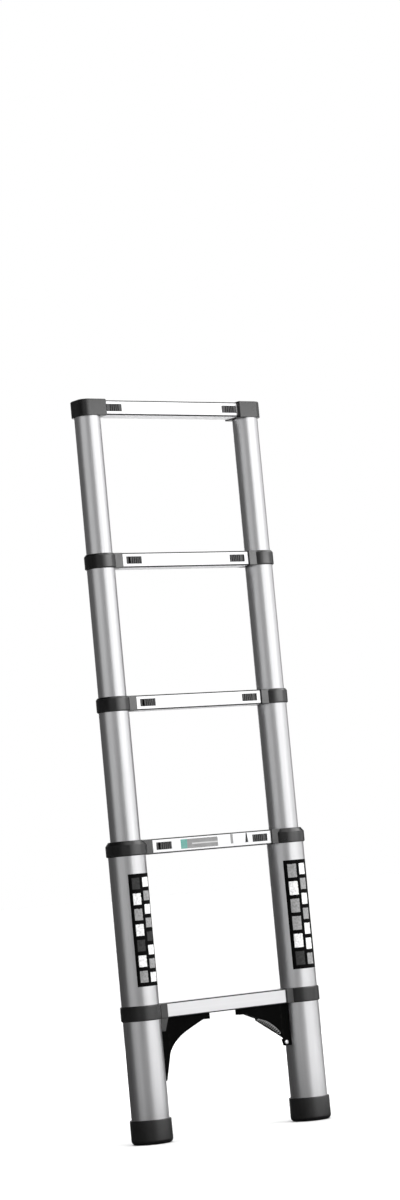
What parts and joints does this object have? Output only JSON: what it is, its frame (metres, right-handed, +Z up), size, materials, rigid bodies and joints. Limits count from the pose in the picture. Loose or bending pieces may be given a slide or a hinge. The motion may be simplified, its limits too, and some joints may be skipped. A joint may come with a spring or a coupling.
{
  "type": "telescopic ladder",
  "caption": "Telescopic leaning ladder with nested round aluminium stiles, hollow rungs, plastic collars with thumb-slide latches, corner brackets and rubber feet.",
  "frame": {"origin": "on the ground, midway between the two feet", "axes": "+Z up along the stiles, +X along the rungs to the right stile, -Y towards the front with the latch windows"},
  "size_m": [0.475, 0.083, 1.485],
  "materials": {
    "tube_aluminium": "satin drawn",
    "rung_aluminium": "satin extruded",
    "rivet_aluminium": "bright",
    "collar_plastic": "fine moulded grain",
    "slider_plastic": "ribbed moulded",
    "bracket_plastic": "moulded",
    "foot_rubber": "moulded rubber",
    "plug_plastic": "plain",
    "pin_steel": "turned",
    "spring_steel": "drawn wire"
  },
  "bodies": {
    "base": {"left_tube_1": "tube_aluminium", "right_tube_1": "tube_aluminium", "left_foot": "foot_rubber", "right_foot": "foot_rubber", "rung_1": "rung_aluminium", "rung_rivets_1": "rivet_aluminium", "left_collar_1": "collar_plastic", "right_collar_1": "collar_plastic", "left_bracket": "bracket_plastic", "right_bracket": "bracket_plastic", "bracket_rivets": "rivet_aluminium", "rung_2": "rung_aluminium", "rung_rivets_2": "rivet_aluminium", "left_collar_2": "collar_plastic", "right_collar_2": "collar_plastic", "left_spring_2": "spring_steel", "right_spring_2": "spring_steel"},
    "section_2": {"left_tube_2": "tube_aluminium", "right_tube_2": "tube_aluminium", "left_plug_2": "plug_plastic", "right_plug_2": "plug_plastic", "rung_3": "rung_aluminium", "rung_rivets_3": "rivet_aluminium", "left_collar_3": "collar_plastic", "right_collar_3": "collar_plastic", "left_spring_3": "spring_steel", "right_spring_3": "spring_steel"},
    "section_3": {"left_tube_3": "tube_aluminium", "right_tube_3": "tube_aluminium", "left_plug_3": "plug_plastic", "right_plug_3": "plug_plastic", "rung_4": "rung_aluminium", "rung_rivets_4": "rivet_aluminium", "left_collar_4": "collar_plastic", "right_collar_4": "collar_plastic", "left_spring_4": "spring_steel", "right_spring_4": "spring_steel"},
    "section_4": {"left_tube_4": "tube_aluminium", "right_tube_4": "tube_aluminium", "left_plug_4": "plug_plastic", "right_plug_4": "plug_plastic", "rung_5": "rung_aluminium", "rung_rivets_5": "rivet_aluminium", "left_cap": "collar_plastic", "right_cap": "collar_plastic", "left_insert": "slider_plastic", "right_insert": "slider_plastic"},
    "left_latch_2": {"left_slider_2": "slider_plastic", "left_pin_2": "pin_steel"},
    "right_latch_2": {"right_slider_2": "slider_plastic", "right_pin_2": "pin_steel"},
    "left_latch_3": {"left_slider_3": "slider_plastic", "left_pin_3": "pin_steel"},
    "right_latch_3": {"right_slider_3": "slider_plastic", "right_pin_3": "pin_steel"},
    "left_latch_4": {"left_slider_4": "slider_plastic", "left_pin_4": "pin_steel"},
    "right_latch_4": {"right_slider_4": "slider_plastic", "right_pin_4": "pin_steel"}
  },
  "joints": [
    {"name": "section_2_slide", "type": "slide", "parent": "base", "child": "section_2", "axis": [0, 0, 1], "range_m": [-0.255, 0]},
    {"name": "section_3_slide", "type": "slide", "parent": "section_2", "child": "section_3", "axis": [0, 0, 1], "range_m": [-0.255, 0]},
    {"name": "section_4_slide", "type": "slide", "parent": "section_3", "child": "section_4", "axis": [0, 0, 1], "range_m": [-0.27, 0]},
    {"name": "left_latch_2_slide", "type": "slide", "parent": "base", "child": "left_latch_2", "axis": [-1, 0, 0], "range_m": [0, 0.0085], "deforming": ["left_spring_2"]},
    {"name": "right_latch_2_slide", "type": "slide", "parent": "base", "child": "right_latch_2", "axis": [1, 0, 0], "range_m": [0, 0.0085], "deforming": ["right_spring_2"]},
    {"name": "left_latch_3_slide", "type": "slide", "parent": "section_2", "child": "left_latch_3", "axis": [-1, 0, 0], "range_m": [0, 0.0085], "deforming": ["left_spring_3"]},
    {"name": "right_latch_3_slide", "type": "slide", "parent": "section_2", "child": "right_latch_3", "axis": [1, 0, 0], "range_m": [0, 0.0085], "deforming": ["right_spring_3"]},
    {"name": "left_latch_4_slide", "type": "slide", "parent": "section_3", "child": "left_latch_4", "axis": [-1, 0, 0], "range_m": [0, 0.0085], "deforming": ["left_spring_4"]},
    {"name": "right_latch_4_slide", "type": "slide", "parent": "section_3", "child": "right_latch_4", "axis": [1, 0, 0], "range_m": [0, 0.0085], "deforming": ["right_spring_4"]}
  ]
}
